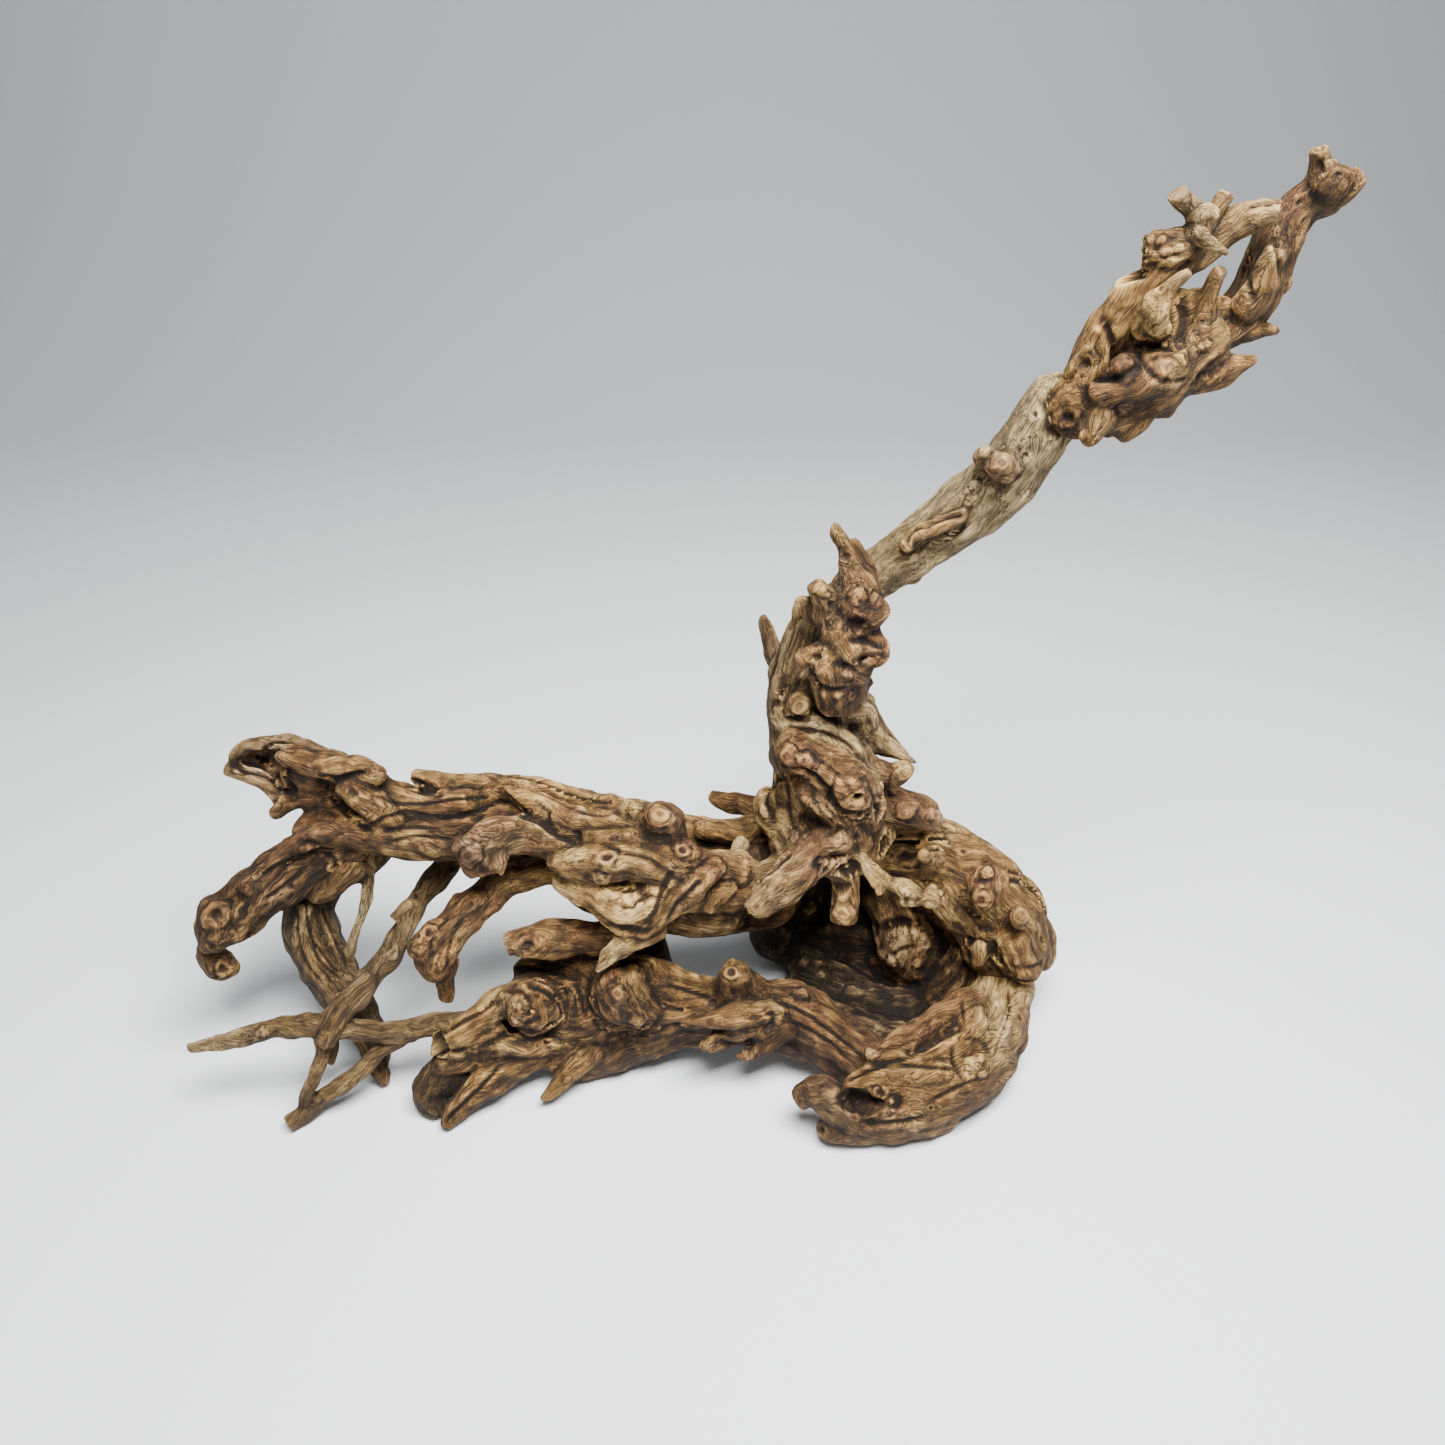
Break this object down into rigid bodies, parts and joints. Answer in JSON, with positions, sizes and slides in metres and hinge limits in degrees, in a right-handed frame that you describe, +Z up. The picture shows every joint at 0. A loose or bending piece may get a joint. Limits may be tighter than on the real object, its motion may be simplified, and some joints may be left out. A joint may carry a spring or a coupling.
{
  "type": "coral wood driftwood",
  "caption": "Gnarled branching driftwood that stands on its own roots, with a knotted log, a hollow bend and one long arm that rises to a forked crown.",
  "frame": {"origin": "on the ground, under the middle of the object's box", "axes": "+X to the viewer's right, towards the arm's crown; +Y away from the viewer; +Z up"},
  "size_m": [0.4163, 0.1516, 0.3524],
  "materials": {
    "brown_wood": "matte",
    "red_brown_wood": "matte",
    "pale_wood": "matte",
    "grey_brown_wood": "matte",
    "green_brown_wood": "matte"
  },
  "bodies": {
    "root": {"heart": "brown_wood", "upper_log": "brown_wood", "low_log": "brown_wood", "neck": "red_brown_wood", "arm": "pale_wood", "crown": "red_brown_wood", "left_prong": "brown_wood", "right_prong": "red_brown_wood", "right_flank": "brown_wood", "base_bend": "brown_wood", "back_root": "grey_brown_wood", "front_leg": "brown_wood", "left_hook": "brown_wood", "twisted_leg": "green_brown_wood", "crossing_stick": "grey_brown_wood", "long_stick": "grey_brown_wood"}
  },
  "joints": []
}
